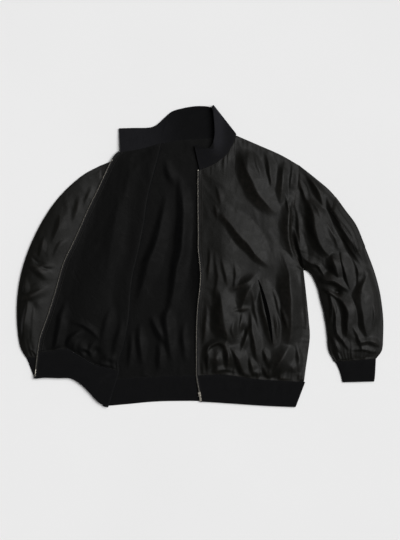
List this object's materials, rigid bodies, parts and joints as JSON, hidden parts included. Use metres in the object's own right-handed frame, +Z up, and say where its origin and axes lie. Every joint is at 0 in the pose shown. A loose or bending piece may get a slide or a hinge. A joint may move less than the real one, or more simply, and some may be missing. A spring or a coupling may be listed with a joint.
{
  "type": "track jacket, zip blouson laid flat",
  "caption": "Zip-front blouson with rib collar, cuffs and waistband, laid flat on its back with the right front folded open to show the lining",
  "frame": {"origin": "centre of the laid-out garment on the surface it lies on", "axes": "+X towards the wearer's left sleeve, +Y towards the collar, +Z up from the surface"},
  "size_m": [0.9734, 0.8021, 0.0233],
  "materials": {
    "shell": "satin woven nylon, near black",
    "lining": "matte brushed lining, near black",
    "rib": "matte rib knit, blue black",
    "tape": "woven zip tape, near black",
    "brass": "polished"
  },
  "bodies": {
    "jacket": {"back_panel": "shell", "back_lining": "lining", "front_left": "shell", "front_right": "shell", "front_right_lining": "lining", "sleeve_left": "shell", "sleeve_right": "shell", "sleeve_pocket": "shell", "pocket_welt_left": "shell", "cuff_left": "rib", "cuff_right": "rib", "collar": "rib", "hem_band": "rib", "zip_tape_left": "tape", "zip_tape_right": "tape", "zip_slider": "brass"},
    "pull": {"zip_pull": "brass"}
  },
  "joints": [
    {"name": "pull_hinge", "type": "hinge", "parent": "jacket", "child": "pull", "pos_m": [-0.00103, -0.3668, 0.0095], "axis": [-0.9856, -0.169, 0], "range_deg": [0, 170]}
  ]
}
